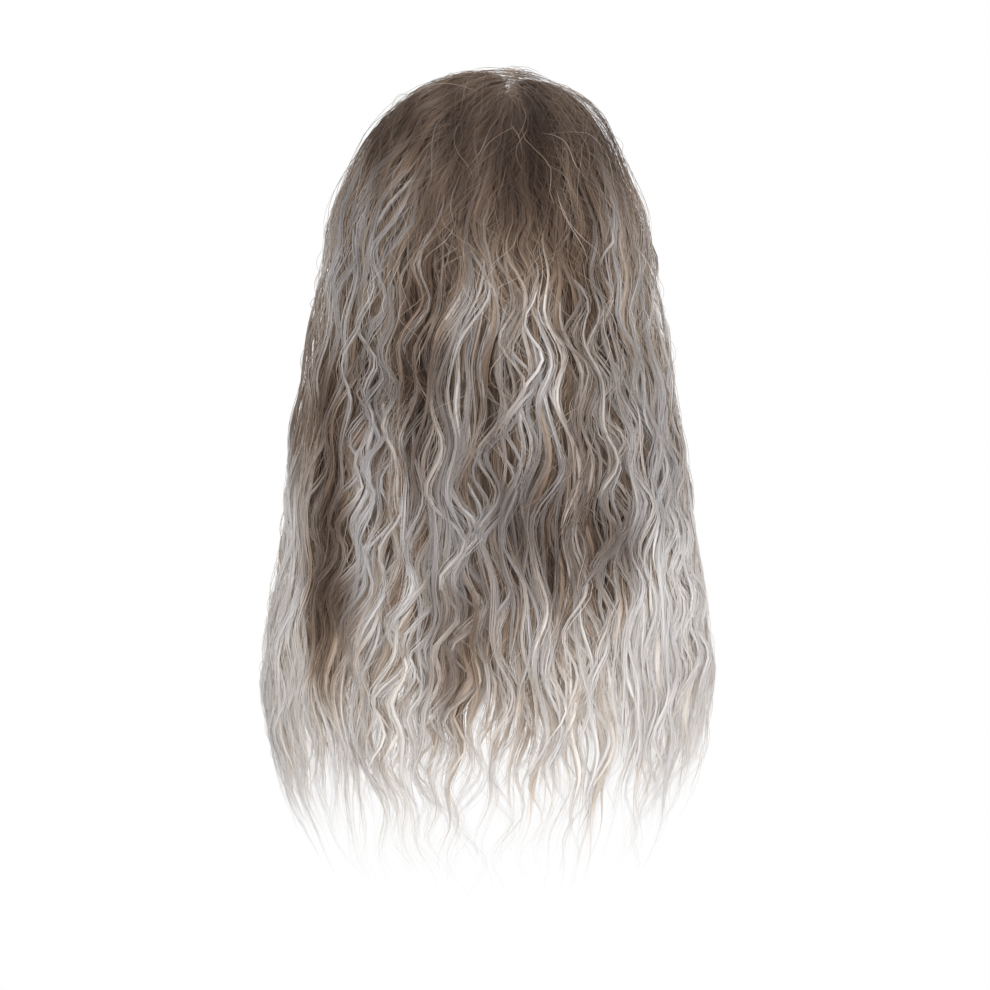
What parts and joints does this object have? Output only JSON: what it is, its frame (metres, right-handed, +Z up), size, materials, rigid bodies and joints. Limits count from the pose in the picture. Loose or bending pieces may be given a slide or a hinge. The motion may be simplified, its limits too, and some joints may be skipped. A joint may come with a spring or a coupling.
{
  "type": "long wavy costume wig",
  "caption": "Long wavy wig for costume wear: a wefted elastic cap with adjuster hooks and bendable ear tabs, hung with layered locks.",
  "frame": {"origin": "middle of the head opening at brow height, at the centre of the head the cap fits", "axes": "+Z up to the crown, -Y the way the face looks, +X the wearer's left"},
  "size_m": [0.331, 0.2238, 0.5979],
  "materials": {
    "cap_net": "open stretch net",
    "parting_cloth": "plain skin-coloured cloth",
    "edge_band": "soft woven band",
    "rib_ribbon": "ribbed elastic ribbon",
    "weft_tape": "stitched tape",
    "elastic": "ribbed elastic",
    "thread": "twisted thread",
    "hook_metal": "satin",
    "taupe_hair": "synthetic fibre, soft sheen",
    "silver_hair": "synthetic fibre, soft sheen",
    "pale_hair": "synthetic fibre, soft sheen"
  },
  "bodies": {
    "cap": {"crown_net": "cap_net", "parting_strip": "parting_cloth", "front_band": "edge_band", "temple_panel_left": "cap_net", "temple_panel_right": "cap_net", "side_band_left": "edge_band", "side_band_right": "edge_band", "nape_band": "edge_band", "rib_centre": "rib_ribbon", "rib_left_inner": "rib_ribbon", "rib_right_inner": "rib_ribbon", "rib_left_outer": "rib_ribbon", "rib_right_outer": "rib_ribbon", "adjuster_strap_left": "elastic", "adjuster_strap_right": "elastic", "loop_tape_left": "edge_band", "loop_tape_right": "edge_band", "hook_loops_left": "thread", "hook_loops_right": "thread", "weft_tape_1": "weft_tape", "weft_tape_2": "weft_tape", "weft_tape_3": "weft_tape", "weft_tape_4": "weft_tape", "weft_tape_5": "weft_tape", "weft_tape_6": "weft_tape", "weft_tape_7": "weft_tape", "weft_tape_8": "weft_tape", "weft_tape_9": "weft_tape", "back_centre_locks": "silver_hair", "back_left_locks": "taupe_hair", "back_right_locks": "taupe_hair", "side_left_locks": "silver_hair", "side_right_locks": "silver_hair", "front_left_locks": "pale_hair", "front_right_locks": "pale_hair", "nape_row_hair": "taupe_hair", "middle_row_hair_left": "pale_hair", "middle_row_hair_right": "pale_hair"},
    "left_hook": {"adjuster_hook_left": "hook_metal"},
    "right_hook": {"adjuster_hook_right": "hook_metal"},
    "left_ear_tab": {"ear_tab_left": "edge_band", "ear_stay_left": "hook_metal"},
    "right_ear_tab": {"ear_tab_right": "edge_band", "ear_stay_right": "hook_metal"}
  },
  "joints": [
    {"name": "left_adjuster_run", "type": "hinge", "parent": "cap", "child": "left_hook", "pos_m": [-0.0014, 0.0243, -0.0648], "axis": [0, 0, 1], "range_deg": [0, 19], "deforming": ["adjuster_strap_left"]},
    {"name": "right_adjuster_run", "type": "hinge", "parent": "cap", "child": "right_hook", "pos_m": [0.0014, 0.0243, -0.0648], "axis": [0, 0, -1], "range_deg": [0, 19], "deforming": ["adjuster_strap_right"]},
    {"name": "left_ear_tab_bend", "type": "hinge", "parent": "cap", "child": "left_ear_tab", "pos_m": [0.0719, -0.03651, 0.01077], "axis": [0.3058, 0.9521, 0], "range_deg": [-5, 20]},
    {"name": "right_ear_tab_bend", "type": "hinge", "parent": "cap", "child": "right_ear_tab", "pos_m": [-0.0719, -0.03651, 0.01077], "axis": [0.3058, -0.9521, 0], "range_deg": [-5, 20]}
  ]
}
